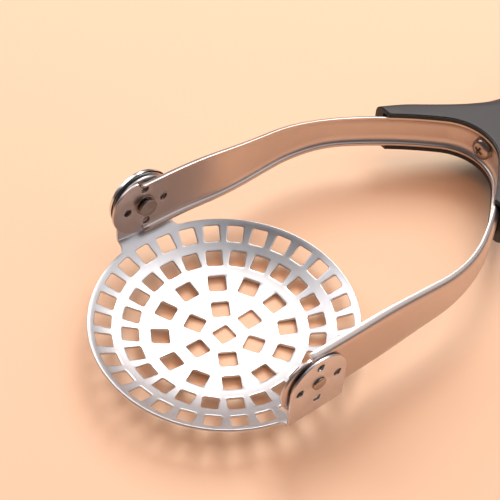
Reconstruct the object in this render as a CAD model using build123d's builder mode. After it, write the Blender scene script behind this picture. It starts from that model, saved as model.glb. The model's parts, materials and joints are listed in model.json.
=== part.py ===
from build123d import *
import os
from math import asin, atan, cos, degrees, radians, sin

os.makedirs("parts", exist_ok=True)

# Folding potato masher, lying flat on its dished plate with the fork folded down beside it.
# X runs along the pivot, +Y runs from the plate to the end of the handle, +Z is up.
# Positions named "from the pivot" are measured from the pivot axis, over the middle of the dish.

# Mashing plate: a pressed dish with square holes and two upright ears
SHEET = 1.0
PLATE_R = 48.3
DISH_CENTRE_R = 150.0  # curvature of the middle of the dish, on its upper face
DISH_EDGE_R = 80.0  # tighter curvature of the outer part
DISH_BREAK_R = 23.0  # where the one passes into the other
HOLE_RINGS = ((11.5, 6, 30.0, 6.5), (22.9, 12, 0.0, 6.5), (33.4, 24, 0.0, 5.9), (43.0, 30, 6.0, 5.9))
CENTRE_HOLE = 6.5
HOLE_CORNER_R = 0.8
EAR_OUT = 50.2  # outer face of the plain ear, from the pivot
LOCK_OUT = 1.8  # ear, web and button stand this much further out on the lock side
EAR_HALF = 11.6
EAR_BEND_R = 1.5
EAR_LIFT = 0.3  # the flat ear root stands this much over the round rim at the middle
PIVOT_ABOVE_RIM = 15.3

# Fork: one strip pressed to a channel, bent round the yoke
WEB_OUT = 48.4
FLANGE = 2.8  # channel depth, over the web
WEB_HALF = 11.8  # half the channel's height at the pivot
ARM_HALF = 7.3  # half its height along the arms and the yoke
TAPER_START = 31.0
TAPER_END = 80.0
TAPER_R = 60.0
BEND_Y = 56.5  # where the straight part of an arm ends
SHOULDER_R = 62.0
SHOULDER_TURN = 30.0
YOKE_R = 23.0
SADDLE_TURN = 44.0  # the arms' total turn where the yoke's round end starts
WEB_END_AT = -2.2  # centre of the webs' round ends
FLANGE_START = -1.7
SPLAY_START = 8.0  # where the lock arm starts to swing in to the plain arm's line
SPLAY_LENGTH = 40.0

# Lock: a sprung button with four pins, through the -X side
LOCK_HOLE_PCR = 7.8
LOCK_HOLE_R = 1.55
LOCK_PIN_R = 1.5
WEB_LOCK_HOLE_R = 1.6
SHAFT_R = 2.0
BUSH_R = 3.0
BUSH_FLANGE_R = 4.2
BUSH_FLANGE_T = 0.3
BUSH_LIP_R = 3.9
RUNNING_GAP = 0.05
END_FLOAT = 0.1
DOME_R = 12.8
DOME_RIM = 52.7  # the dome's open edge, from the pivot
DOME_TOP = 56.0
DOME_WALL = 0.6
DOME_CROWN_R = 50.0
DOME_SHOULDER_R = 0.9
PIN_DISC_AT = 52.8
PIN_DISC_T = 0.8
SHAFT_CAP_R = 3.6
SHAFT_CAP_T = 0.6
SPRING_GAP = 1.4
SPRING_WIRE = 0.3
SPRING_MEAN_R = 2.5  # at the cap; the coils widen towards the web, so they can nest
SPRING_CONE = 40.0
SPRING_TURNS = 2.25
NYLON_WASHER_R = 5.2
NYLON_WASHER_T = 0.7

# Plain pivot: a rivet, through the +X side
RIVET_R = 1.9
RIVET_HEAD_R = 2.6
RIVET_HEAD_T = 1.0
RIVET_TAIL_R = 3.0
RIVET_TAIL_T = 0.8
RIVET_WASHER_R = 4.5
RIVET_WASHER_T = 0.6

# Handle: (distance from the pivot, half width, half height, inset of the core)
SADDLE_START = 100.0
GRIP_END = 240.0
HANDLE_END = 256.0
HANDLE_SECTIONS = (
    (SADDLE_START, 36.6, 9.3, 0.6),
    (109.0, 31.9, 9.3, 0.6),
    (118.0, 26.0, 9.3, 0.7),
    (125.5, 21.4, 9.4, 0.9),
    (132.5, 18.0, 9.5, 1.2),
    (141.0, 15.4, 9.6, 1.6),
    (155.0, 13.2, 9.9, 2.0),
    (180.0, 14.3, 11.2, 2.0),
    (207.0, 15.9, 12.0, 2.0),
    (228.0, 15.2, 11.4, 2.0),
    (GRIP_END, 13.8, 10.5, 2.0),
    (249.0, 11.6, 9.2, 2.0),
    (HANDLE_END, 7.6, 6.6, 2.0),
)
SADDLE_CORNER = 0.42  # corner radius of the saddle's section, over its half height
GRIP_CORNER = 0.86  # the same for the grip, which is nearly oval
GRIP_BLEND = 141.0  # the corners have grown to the grip's by here
LIP_COVER = 0.2  # how far the saddle's lips reach past the channel's free edges
CORE_END = 234.0
CAP_END_FILLET = 3.0
CAP_SPIGOT = (9.0, 6.5, 8.0)  # half width, half height, length into the core
HANG_HOLE_AT = 247.5
HANG_HOLE_R = 3.5
SCREW_R = 2.1
SCREW_HEAD_R = 4.5
SCREW_HEAD_T = 2.4
SCREW_END = 150.0
SCREW_SEAT = 0.45  # the curved yoke holds the flat head this far off its middle
INSERT_R = 3.5
INSERT_START = 134.0
INSERT_END = 146.0
PHILLIPS_WIDTH = 1.1
PHILLIPS_SPAN = 5.0
PHILLIPS_DEPTH = 1.6

# Worked out
WEB_IN = WEB_OUT - SHEET
EAR_IN = EAR_OUT - SHEET
LOCK_WEB_OUT = WEB_OUT + LOCK_OUT
LOCK_WEB_IN = WEB_IN + LOCK_OUT
LOCK_EAR_OUT = EAR_OUT + LOCK_OUT
SPLAY_TURN = 2 * degrees(atan(LOCK_OUT / SPLAY_LENGTH))
SPLAY_R = SPLAY_LENGTH / (2 * sin(radians(SPLAY_TURN)))
YOKE_TURN = 90.0 - SADDLE_TURN
ARM_R = (
    WEB_OUT - SHOULDER_R * (1 - cos(radians(SHOULDER_TURN))) - YOKE_R * cos(radians(SADDLE_TURN))
) / (cos(radians(SHOULDER_TURN)) - cos(radians(SADDLE_TURN)))
YOKE_Y = (
    BEND_Y
    + SHOULDER_R * sin(radians(SHOULDER_TURN))
    + ARM_R * (sin(radians(SADDLE_TURN)) - sin(radians(SHOULDER_TURN)))
    + YOKE_R * (1 - sin(radians(SADDLE_TURN)))
)
CENTRE_ANGLE = asin(DISH_BREAK_R / DISH_CENTRE_R)
EDGE_ANGLE = asin((PLATE_R - DISH_BREAK_R) / DISH_EDGE_R + sin(CENTRE_ANGLE))
DISH_DEPTH = DISH_CENTRE_R * (1 - cos(CENTRE_ANGLE)) + DISH_EDGE_R * (cos(CENTRE_ANGLE) - cos(EDGE_ANGLE))
RIVET_OUT = EAR_OUT + END_FLOAT + RIVET_HEAD_T
MID_X = (DOME_TOP - RIVET_OUT) / 2
PIVOT_Y = (PLATE_R - HANDLE_END) / 2
PIVOT_Z = SHEET + DISH_DEPTH + PIVOT_ABOVE_RIM
SHAFT_CAP_AT = LOCK_WEB_IN - BUSH_FLANGE_T - SPRING_GAP

PIVOT_AXIS = Axis((MID_X, PIVOT_Y, PIVOT_Z), (1, 0, 0))
PLATE_PLAN = Plane(origin=(MID_X, PIVOT_Y, 0))
FORK_PLAN = Plane(origin=(MID_X, PIVOT_Y, PIVOT_Z))
PLATE_SECTION = Plane(origin=(MID_X, PIVOT_Y, 0), x_dir=(1, 0, 0), z_dir=(0, -1, 0))
PIVOT_SECTION = Plane(origin=(MID_X, PIVOT_Y, PIVOT_Z), x_dir=(1, 0, 0), z_dir=(0, -1, 0))


def across(x):
    """Plane square to the pivot, x from its middle; its own X is the part's Y, its own Y is up."""
    return Plane(origin=(MID_X + x, PIVOT_Y, PIVOT_Z), x_dir=(0, 1, 0), z_dir=(1, 0, 0))


def along(y):
    """Plane square to the handle, y from the pivot; its own X is the part's X, its own Y is up."""
    return Plane(origin=(MID_X, PIVOT_Y + y, PIVOT_Z), x_dir=(1, 0, 0), z_dir=(0, -1, 0))


def ring(x_from, x_to, outer_r, inner_r=0.0):
    """A disc or a ring about the pivot axis, between two places along it."""
    with BuildPart() as blank:
        with BuildSketch(across(x_from)):
            Circle(outer_r)
            if inner_r:
                Circle(inner_r, mode=Mode.SUBTRACT)
        extrude(amount=x_to - x_from)
    return blank.part


# ---------------------------------------------------------------- mashing plate
def ear(ear_out, bore_r):
    """The ear of the +X side with its bend and holes, its outer face at ear_out."""
    ear_in = ear_out - SHEET
    bend_turn = 90.0 - degrees(EDGE_ANGLE)
    bend_x = ear_in - EAR_BEND_R * (1 - sin(EDGE_ANGLE))
    root_x = PLATE_R - 1.8
    slope = sin(EDGE_ANGLE) / cos(EDGE_ANGLE)
    root_z = SHEET + DISH_DEPTH + EAR_LIFT - (PLATE_R - root_x) * slope
    bend_z = root_z + (bend_x - root_x) * slope
    normal = (sin(EDGE_ANGLE) * SHEET, -cos(EDGE_ANGLE) * SHEET)
    with BuildPart() as blank:
        with BuildSketch(PLATE_SECTION):
            with BuildLine():
                root = Line((root_x, root_z), (bend_x, bend_z))
                bend = JernArc(root @ 1, root % 1, EAR_BEND_R, bend_turn)
                inner = Line(bend @ 1, (ear_in, PIVOT_Z + EAR_HALF))
                tip = Line(inner @ 1, (ear_out, PIVOT_Z + EAR_HALF))
                outer = Line(tip @ 1, (ear_out, (bend @ 1).Y))
                back = JernArc(outer @ 1, (0, -1), EAR_BEND_R + SHEET, -bend_turn)
                under = Line(back @ 1, (root_x + normal[0], root_z + normal[1]))
                Line(under @ 1, root @ 0)
            make_face()
        extrude(amount=EAR_HALF, both=True)
        with BuildSketch(across(root_x)):
            Circle(EAR_HALF)
            with Locations((0, -EAR_HALF)):
                Rectangle(2 * EAR_HALF, 2 * EAR_HALF)
        extrude(amount=ear_out - root_x, mode=Mode.INTERSECT)
        with BuildSketch(across(ear_in - EAR_BEND_R)):
            Circle(bore_r)
            with PolarLocations(LOCK_HOLE_PCR, 4):
                Circle(LOCK_HOLE_R)
        extrude(amount=2 * EAR_BEND_R + SHEET, mode=Mode.SUBTRACT)
    return blank.part


plain_ear = ear(EAR_OUT, RIVET_R + RUNNING_GAP)
lock_ear = ear(LOCK_EAR_OUT, BUSH_R + RUNNING_GAP).mirror(Plane(origin=(MID_X, 0, 0), z_dir=(1, 0, 0)))

with BuildPart() as mashing_plate:
    with BuildSketch(PLATE_SECTION):
        with BuildLine():
            top_in = JernArc((0, SHEET), (1, 0), DISH_CENTRE_R, degrees(CENTRE_ANGLE))
            top_out = JernArc(top_in @ 1, top_in % 1, DISH_EDGE_R, degrees(EDGE_ANGLE - CENTRE_ANGLE))
            low_in = JernArc((0, 0), (1, 0), DISH_CENTRE_R + SHEET, degrees(CENTRE_ANGLE))
            low_out = JernArc(
                low_in @ 1, low_in % 1, DISH_EDGE_R + SHEET, degrees(EDGE_ANGLE - CENTRE_ANGLE)
            )
            Line(top_out @ 1, low_out @ 1)
            Line(top_in @ 0, low_in @ 0)
        make_face()
    revolve(axis=Axis((MID_X, PIVOT_Y, 0), (0, 0, 1)))
    with BuildSketch(PLATE_PLAN.offset(-SHEET)):
        RectangleRounded(CENTRE_HOLE, CENTRE_HOLE, HOLE_CORNER_R)
        for ring_r, count, first_angle, width in HOLE_RINGS:
            with PolarLocations(ring_r, count, start_angle=first_angle):
                RectangleRounded(width, width, HOLE_CORNER_R)
    extrude(amount=DISH_DEPTH + 3 * SHEET, mode=Mode.SUBTRACT)
    add(lock_ear)
    add(plain_ear)


# ---------------------------------------------------------------- fork
def fork_arm(side, start, inset):
    """One arm's line from a place along it to the middle of the yoke, drawn in by inset."""
    arm = Line(start, (side * (WEB_OUT - inset), BEND_Y))
    shoulder = JernArc(arm @ 1, arm % 1, SHOULDER_R - inset, side * SHOULDER_TURN)
    reach = JernArc(shoulder @ 1, shoulder % 1, ARM_R - inset, side * (SADDLE_TURN - SHOULDER_TURN))
    JernArc(reach @ 1, reach % 1, YOKE_R - inset, side * YOKE_TURN)


def fork_plan(inset):
    """The plan enclosed by the fork, closed across its open end and drawn in by inset."""
    plain_foot = (WEB_OUT - inset, -2 * WEB_HALF)
    lock_foot = (inset - LOCK_WEB_OUT, -2 * WEB_HALF)
    with BuildSketch() as plan:
        with BuildLine():
            fork_arm(1, plain_foot, inset)
            web = Line(lock_foot, (inset - LOCK_WEB_OUT, SPLAY_START))
            swing_in = JernArc(web @ 1, web % 1, SPLAY_R - inset, -SPLAY_TURN)
            swing_out = JernArc(swing_in @ 1, swing_in % 1, SPLAY_R + inset, SPLAY_TURN)
            fork_arm(-1, swing_out @ 1, inset)
            Line(lock_foot, plain_foot)
        make_face()
    return plan.sketch


def fork_side(inset):
    """The tapering side view of the channel, from the pivot to past the yoke."""
    with BuildSketch() as side:
        with BuildLine():
            Polyline(
                (WEB_END_AT, WEB_HALF - inset),
                (TAPER_START, WEB_HALF - inset),
                (TAPER_END, ARM_HALF - inset),
                (YOKE_Y + SHEET, ARM_HALF - inset),
                (YOKE_Y + SHEET, inset - ARM_HALF),
                (TAPER_END, inset - ARM_HALF),
                (TAPER_START, inset - WEB_HALF),
                (WEB_END_AT, inset - WEB_HALF),
                close=True,
            )
        make_face()
        fillet(side.vertices().sort_by(Axis.X)[2:6], TAPER_R)
    return side.sketch


with BuildPart() as fork_cavity:
    with BuildSketch(across(-LOCK_WEB_OUT - SHEET)):
        add(fork_side(SHEET))
    extrude(amount=2 * (LOCK_WEB_OUT + SHEET))
    with BuildSketch(FORK_PLAN.offset(-2 * WEB_HALF)):
        add(fork_plan(SHEET))
    extrude(amount=4 * WEB_HALF, mode=Mode.INTERSECT)

with BuildPart() as fork:
    with BuildSketch(across(-LOCK_WEB_OUT - SHEET)):
        add(fork_side(0))
        with Locations((WEB_END_AT, 0)):
            Circle(WEB_HALF)
    extrude(amount=2 * (LOCK_WEB_OUT + SHEET))
    with BuildSketch(FORK_PLAN.offset(-2 * WEB_HALF)):
        add(fork_plan(0))
    extrude(amount=4 * WEB_HALF, mode=Mode.INTERSECT)
    with BuildSketch(FORK_PLAN.offset(-2 * WEB_HALF)):
        add(fork_plan(FLANGE))
    extrude(amount=4 * WEB_HALF, mode=Mode.SUBTRACT)
    add(fork_cavity.part, mode=Mode.SUBTRACT)
    with BuildSketch(across(-LOCK_WEB_IN)):
        with Locations((FLANGE_START - WEB_HALF, 0)):
            Rectangle(2 * WEB_HALF, 3 * WEB_HALF)
    extrude(amount=LOCK_WEB_IN + WEB_IN, mode=Mode.SUBTRACT)
    with BuildSketch(across(-LOCK_WEB_OUT - SHEET)):
        Circle(BUSH_R)
        with PolarLocations(LOCK_HOLE_PCR, 4):
            Circle(WEB_LOCK_HOLE_R)
    extrude(amount=3 * SHEET, mode=Mode.SUBTRACT)
    with BuildSketch(across(WEB_IN - SHEET)):
        Circle(RIVET_R)
    extrude(amount=3 * SHEET, mode=Mode.SUBTRACT)
    with BuildSketch(along(YOKE_Y - 3 * SHEET)):
        Circle(SCREW_R)
    extrude(amount=-4 * SHEET, mode=Mode.SUBTRACT)


# ---------------------------------------------------------------- plain pivot
with BuildPart() as pivot_rivet:
    add(ring(WEB_IN - RIVET_WASHER_T - RIVET_TAIL_T, WEB_IN - RIVET_WASHER_T, RIVET_TAIL_R))
    add(ring(WEB_IN - RIVET_WASHER_T, EAR_OUT + END_FLOAT, RIVET_R))
    add(ring(EAR_OUT + END_FLOAT, RIVET_OUT, RIVET_HEAD_R))
    fillet(pivot_rivet.faces().sort_by(Axis.X)[-1].edges(), RIVET_HEAD_T * 0.7)

with BuildPart() as rivet_washer:
    add(ring(WEB_IN - RIVET_WASHER_T, WEB_IN, RIVET_WASHER_R, RIVET_R))

with BuildPart() as rivet_side_washer:
    add(ring(WEB_OUT, WEB_OUT + NYLON_WASHER_T, NYLON_WASHER_R, RIVET_R))

# ---------------------------------------------------------------- lock side pivot
with BuildPart() as pivot_bush:
    lip_at = -LOCK_EAR_OUT - END_FLOAT
    bore_r = SHAFT_R + RUNNING_GAP
    add(ring(lip_at - BUSH_FLANGE_T, lip_at, BUSH_LIP_R, bore_r))
    add(ring(lip_at, -LOCK_WEB_IN, BUSH_R, bore_r))
    add(ring(-LOCK_WEB_IN, -LOCK_WEB_IN + BUSH_FLANGE_T, BUSH_FLANGE_R, bore_r))

with BuildPart() as lock_side_washer:
    add(ring(-LOCK_WEB_OUT - NYLON_WASHER_T, -LOCK_WEB_OUT, NYLON_WASHER_R, BUSH_R))


# ---------------------------------------------------------------- lock button
with BuildPart() as button_dome:
    with BuildSketch(PIVOT_SECTION) as dome_section:
        with BuildLine():
            crown = JernArc((-DOME_TOP, 0), (0, 1), DOME_CROWN_R, -degrees(asin(DOME_R / DOME_CROWN_R)))
            wall = Line(crown @ 1, (-DOME_RIM, DOME_R))
            edge = Line(wall @ 1, (-DOME_RIM, 0))
            Line(edge @ 1, crown @ 0)
        make_face()
        fillet(dome_section.vertices().sort_by_distance(crown @ 1)[0], DOME_SHOULDER_R)
    revolve(axis=PIVOT_AXIS)
    offset(amount=-DOME_WALL, openings=button_dome.faces().sort_by(Axis.X)[-1], kind=Kind.INTERSECTION)

with BuildPart() as pin_disc:
    add(ring(-PIN_DISC_AT - PIN_DISC_T, -PIN_DISC_AT, DOME_R - DOME_WALL, SHAFT_R))

with BuildPart() as lock_pins:
    with BuildSketch(across(-PIN_DISC_AT)):
        with PolarLocations(LOCK_HOLE_PCR, 4):
            Circle(LOCK_PIN_R)
    extrude(amount=PIN_DISC_AT - EAR_IN - LOCK_OUT - RUNNING_GAP)

with BuildPart() as button_shaft:
    add(ring(-PIN_DISC_AT - 2 * PIN_DISC_T, -PIN_DISC_AT - PIN_DISC_T, BUSH_R))
    add(ring(-PIN_DISC_AT - PIN_DISC_T, -SHAFT_CAP_AT, SHAFT_R))

with BuildPart() as shaft_cap:
    add(ring(-SHAFT_CAP_AT, SHAFT_CAP_T - SHAFT_CAP_AT, SHAFT_CAP_R))
    chamfer(shaft_cap.faces().sort_by(Axis.X)[-1].edges(), SHAFT_CAP_T / 4)

with BuildPart() as lock_spring:
    coil_length = SPRING_GAP - SPRING_WIRE
    coil_start = (MID_X - SHAFT_CAP_AT - SPRING_WIRE / 2, PIVOT_Y, PIVOT_Z)
    with BuildLine():
        coil = Helix(
            coil_length / SPRING_TURNS,
            coil_length,
            SPRING_MEAN_R,
            center=coil_start,
            direction=(-1, 0, 0),
            cone_angle=SPRING_CONE,
        )
    with BuildSketch(Plane(origin=coil @ 0, z_dir=coil % 0)):
        Circle(SPRING_WIRE / 2)
    sweep(is_frenet=True)


# ---------------------------------------------------------------- handle
def handle_blank(skin):
    """The handle's smooth outer form; skin is 0 for the outside, 1 for the core inside the grip."""
    with BuildPart() as blank:
        for y, half_width, half_height, inset in HANDLE_SECTIONS:
            blend = min(1.0, max(0.0, (y - SADDLE_START) / (GRIP_BLEND - SADDLE_START)))
            corner = (SADDLE_CORNER + (GRIP_CORNER - SADDLE_CORNER) * blend) * (half_height - skin * inset)
            with BuildSketch(along(y)):
                RectangleRounded(2 * (half_width - skin * inset), 2 * (half_height - skin * inset), corner)
        loft()
    return blank.part


def handle_slice(y_from, y_to):
    """A block across the handle between two distances from the pivot."""
    with BuildPart() as block:
        with BuildSketch(along(y_from)):
            Rectangle(4 * WEB_OUT, 4 * WEB_HALF)
        extrude(amount=y_from - y_to)
    return block.part


handle_form = handle_blank(0)
core_form = handle_blank(1)

with BuildPart() as saddle_slot:
    with BuildSketch(FORK_PLAN.offset(-ARM_HALF)):
        add(fork_plan(0))
    extrude(amount=2 * ARM_HALF)
    with BuildSketch(FORK_PLAN.offset(-2 * WEB_HALF)):
        add(fork_plan(FLANGE + LIP_COVER))
    extrude(amount=4 * WEB_HALF)

with BuildPart() as handle_core:
    add(core_form)
    add(handle_slice(SADDLE_START, CORE_END), mode=Mode.INTERSECT)
    add(saddle_slot.part, mode=Mode.SUBTRACT)
    with BuildSketch(along(YOKE_Y - SHEET)):
        Circle(SCREW_R)
    extrude(amount=YOKE_Y - SHEET - SCREW_END, mode=Mode.SUBTRACT)
    with BuildSketch(along(INSERT_START)):
        Circle(INSERT_R)
    extrude(amount=INSERT_START - INSERT_END, mode=Mode.SUBTRACT)
    with BuildSketch(along(CORE_END - CAP_SPIGOT[2])):
        Rectangle(2 * CAP_SPIGOT[0], 2 * CAP_SPIGOT[1])
    extrude(amount=-CAP_SPIGOT[2] - SHEET, mode=Mode.SUBTRACT)

with BuildPart() as handle_grip:
    add(handle_form)
    add(handle_slice(SADDLE_START, GRIP_END), mode=Mode.INTERSECT)
    add(handle_slice(CORE_END, GRIP_END), mode=Mode.SUBTRACT)
    add(core_form, mode=Mode.SUBTRACT)
    add(saddle_slot.part, mode=Mode.SUBTRACT)

with BuildPart() as end_cap:
    add(handle_form)
    add(handle_slice(CORE_END, HANDLE_END), mode=Mode.INTERSECT)
    fillet(end_cap.faces().sort_by(Axis.Y)[-1].edges(), CAP_END_FILLET)
    with BuildSketch(along(CORE_END)):
        Rectangle(2 * CAP_SPIGOT[0], 2 * CAP_SPIGOT[1])
    extrude(amount=CAP_SPIGOT[2])
    with BuildSketch(FORK_PLAN):
        with Locations((0, HANG_HOLE_AT)):
            Circle(HANG_HOLE_R)
    extrude(amount=2 * WEB_HALF, both=True, mode=Mode.SUBTRACT)

with BuildPart() as screw_insert:
    with BuildSketch(along(INSERT_START)):
        Circle(INSERT_R)
        Circle(SCREW_R, mode=Mode.SUBTRACT)
    extrude(amount=INSERT_START - INSERT_END)

with BuildPart() as yoke_screw:
    head_back = YOKE_Y - SHEET - SCREW_SEAT
    with BuildSketch(along(head_back)):
        Circle(SCREW_HEAD_R)
    extrude(amount=SCREW_HEAD_T)
    fillet(yoke_screw.faces().sort_by(Axis.Y)[0].edges(), SCREW_HEAD_T * 0.75)
    with BuildSketch(along(head_back)):
        Circle(SCREW_R)
    extrude(amount=head_back - SCREW_END)
    with BuildSketch(along(head_back - SCREW_HEAD_T)):
        Rectangle(PHILLIPS_SPAN, PHILLIPS_WIDTH)
        Rectangle(PHILLIPS_WIDTH, PHILLIPS_SPAN)
    extrude(amount=-PHILLIPS_DEPTH, mode=Mode.SUBTRACT)


# ---------------------------------------------------------------- labels and files
PIECES = {
    "mashing_plate": mashing_plate,
    "fork": fork,
    "pivot_rivet": pivot_rivet,
    "rivet_washer": rivet_washer,
    "rivet_side_washer": rivet_side_washer,
    "pivot_bush": pivot_bush,
    "lock_side_washer": lock_side_washer,
    "button_dome": button_dome,
    "pin_disc": pin_disc,
    "lock_pins": lock_pins,
    "button_shaft": button_shaft,
    "shaft_cap": shaft_cap,
    "lock_spring": lock_spring,
    "handle_core": handle_core,
    "handle_grip": handle_grip,
    "end_cap": end_cap,
    "screw_insert": screw_insert,
    "yoke_screw": yoke_screw,
}
for name, piece in PIECES.items():
    piece.part.label = name
    export_step(piece.part, f"parts/{name}.step")
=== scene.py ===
import json
import logging
import math
from dataclasses import dataclass, field
from enum import Enum
from typing import Iterable, Sequence

import bmesh
import bpy
from bmesh.types import BMesh, BMVert
from mathutils import Matrix, Vector


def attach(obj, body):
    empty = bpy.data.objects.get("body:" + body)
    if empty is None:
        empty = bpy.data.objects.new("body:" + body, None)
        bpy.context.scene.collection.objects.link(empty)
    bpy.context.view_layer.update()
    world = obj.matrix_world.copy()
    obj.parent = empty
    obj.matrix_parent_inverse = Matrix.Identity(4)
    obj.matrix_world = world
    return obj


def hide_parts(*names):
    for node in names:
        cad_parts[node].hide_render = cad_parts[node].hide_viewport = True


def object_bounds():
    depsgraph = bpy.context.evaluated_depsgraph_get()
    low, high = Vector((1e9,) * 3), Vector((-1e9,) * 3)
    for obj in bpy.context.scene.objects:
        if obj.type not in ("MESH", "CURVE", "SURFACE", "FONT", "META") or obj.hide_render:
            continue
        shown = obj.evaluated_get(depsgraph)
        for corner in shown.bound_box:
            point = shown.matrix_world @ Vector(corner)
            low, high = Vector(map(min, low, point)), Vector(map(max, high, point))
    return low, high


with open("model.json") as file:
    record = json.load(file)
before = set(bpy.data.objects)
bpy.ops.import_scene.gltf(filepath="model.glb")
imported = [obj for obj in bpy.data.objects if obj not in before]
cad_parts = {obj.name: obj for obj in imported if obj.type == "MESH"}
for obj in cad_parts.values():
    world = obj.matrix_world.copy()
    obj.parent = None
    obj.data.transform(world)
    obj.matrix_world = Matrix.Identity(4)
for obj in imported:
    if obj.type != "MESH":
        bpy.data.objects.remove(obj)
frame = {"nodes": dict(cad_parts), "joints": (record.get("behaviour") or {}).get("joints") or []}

log = logging.getLogger("masher")

MM = 0.001
TURN = 2.0 * math.pi
CAD_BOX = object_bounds()
PIVOT = Vector(next(j["pos_m"] for j in frame["joints"] if j["type"] == "hinge"))
TO_FRAME = Matrix.Translation(PIVOT) @ Matrix.Scale(MM, 4)
LOCK_OUT = 1.8


class Side(Enum):
    """The two ends of the pivot, by the sign of X."""

    LOCK = -1
    PLAIN = 1

    @property
    def extra(self) -> float:
        """How much further out this side stands, in millimetres."""
        return LOCK_OUT if self is Side.LOCK else 0.0


class Body(Enum):
    """The bodies that pieces ride on."""

    FRAME = "frame"
    HEAD = "masher_head"
    BUTTON = "lock_button"


# ------------------------------------------------------------------ shader graph
class Signal:
    """A shader socket that takes part in Python arithmetic."""

    def __init__(self, graph: "Graph", socket: bpy.types.NodeSocket) -> None:
        """Wrap one output socket of a graph."""
        self.graph = graph
        self.socket = socket

    def _math(self, operation: str, left: object, right: object) -> "Signal":
        """Join two operands by one Math node.

        Args:
            operation: the Math node's operation.
            left: first operand, a Signal or a number.
            right: second operand, a Signal or a number.

        Returns:
            The node's result.
        """
        node = self.graph.node("ShaderNodeMath", {"operation": operation}, {0: left, 1: right})
        return Signal(self.graph, node.outputs[0])

    def __add__(self, other: object) -> "Signal":
        """Sum."""
        return self._math("ADD", self, other)

    def __radd__(self, other: object) -> "Signal":
        """Sum with a number on the left."""
        return self._math("ADD", other, self)

    def __sub__(self, other: object) -> "Signal":
        """Difference."""
        return self._math("SUBTRACT", self, other)

    def __rsub__(self, other: object) -> "Signal":
        """Difference from a number."""
        return self._math("SUBTRACT", other, self)

    def __mul__(self, other: object) -> "Signal":
        """Product."""
        return self._math("MULTIPLY", self, other)

    def __rmul__(self, other: object) -> "Signal":
        """Product with a number on the left."""
        return self._math("MULTIPLY", other, self)

    def clamped(self) -> "Signal":
        """The value held between 0 and 1."""
        node = self.graph.node("ShaderNodeClamp", {}, {"Value": self})
        return Signal(self.graph, node.outputs[0])


class Graph:
    """The node tree of one material, with one Principled shader."""

    def __init__(self, name: str) -> None:
        """Start an empty material of that name."""
        self.material = bpy.data.materials.new(name)
        self.material.use_nodes = True
        self.tree = self.material.node_tree
        self.tree.nodes.clear()
        self.output = self.node("ShaderNodeOutputMaterial", {}, {})
        self.shader = self.node("ShaderNodeBsdfPrincipled", {}, {})
        self.tree.links.new(self.shader.outputs[0], self.output.inputs["Surface"])

    def node(self, kind: str, settings: dict[str, object], sockets: dict[object, object]) -> bpy.types.Node:
        """Add a node, set it up, then feed its sockets.

        Args:
            kind: the node's type.
            settings: its properties, and "stops" for a colour ramp.
            sockets: a value or a Signal for each socket, by name or number.

        Returns:
            The new node.
        """
        made = self.tree.nodes.new(kind)
        for key, value in settings.items():
            if key == "stops":
                ramp = made.color_ramp
                while len(ramp.elements) < len(value):
                    ramp.elements.new(0.5)
                for element, (place, colour) in zip(ramp.elements, value):
                    element.position = place
                    element.color = (*colour, 1.0)
            else:
                setattr(made, key, value)
        for key, value in sockets.items():
            if isinstance(value, Signal):
                self.tree.links.new(value.socket, made.inputs[key])
            else:
                made.inputs[key].default_value = value
        return made

    def place(self, scale: tuple[float, float, float] = (1.0, 1.0, 1.0)) -> Signal:
        """Object coordinates, stretched along each axis."""
        coords = self.node("ShaderNodeTexCoord", {}, {})
        mapped = self.node(
            "ShaderNodeMapping", {}, {"Vector": Signal(self, coords.outputs["Object"]), "Scale": scale}
        )
        return Signal(self, mapped.outputs[0])

    def noise(self, place: Signal, scale: float, detail: float = 3.0, roughness: float = 0.55) -> Signal:
        """Soft noise from 0 to 1 over a place."""
        made = self.node(
            "ShaderNodeTexNoise", {}, {"Vector": place, "Scale": scale, "Detail": detail, "Roughness": roughness}
        )
        return Signal(self, made.outputs[0])

    def blend(self, factor: Signal, low: tuple[float, ...], high: tuple[float, ...]) -> Signal:
        """A colour between two, by a factor."""
        made = self.node(
            "ShaderNodeMix", {"data_type": "RGBA"}, {0: factor, 6: (*low, 1.0), 7: (*high, 1.0)}
        )
        return Signal(self, made.outputs[2])

    def bump(self, height: Signal, strength: float, distance: float) -> Signal:
        """A normal bent by a height."""
        made = self.node(
            "ShaderNodeBump", {}, {"Height": height, "Strength": strength, "Distance": distance}
        )
        return Signal(self, made.outputs[0])

    def feed(self, **sockets: object) -> bpy.types.Material:
        """Feed the shader's sockets, an underscore standing for a space.

        Args:
            sockets: a value or a Signal for each socket.

        Returns:
            The finished material.
        """
        for key, value in sockets.items():
            socket = self.shader.inputs[key.replace("_", " ")]
            if isinstance(value, Signal):
                self.tree.links.new(value.socket, socket)
            else:
                socket.default_value = value
        return self.material


# ------------------------------------------------------------------ finishes
@dataclass(frozen=True)
class Steel:
    """Stainless sheet or plated steel, with a fine grain, smudges and slow tone changes."""

    name: str
    tone: tuple[float, float, float] = (0.80, 0.79, 0.78)
    shade: tuple[float, float, float] = (0.70, 0.69, 0.69)
    roughness: float = 0.24
    spread: float = 0.10
    grain: tuple[float, float, float] = (1.0, 1.0, 1.0)
    grain_scale: float = 900.0
    grain_depth: float = 0.00002

    def material(self) -> bpy.types.Material:
        """Build the material."""
        graph = Graph(self.name)
        grain = graph.noise(graph.place(self.grain), self.grain_scale, 2.0)
        cloud = graph.noise(graph.place(), 55.0, 4.0, 0.6)
        smudge = graph.noise(graph.place(), 160.0, 5.0, 0.65)
        rough = self.roughness + (grain - 0.5) * self.spread + (smudge - 0.5) * self.spread
        return graph.feed(
            Base_Color=graph.blend(cloud, self.shade, self.tone),
            Metallic=1.0,
            Roughness=rough.clamped(),
            Normal=graph.bump(grain * 0.7 + smudge * 0.3, 0.35, self.grain_depth),
        )


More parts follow.
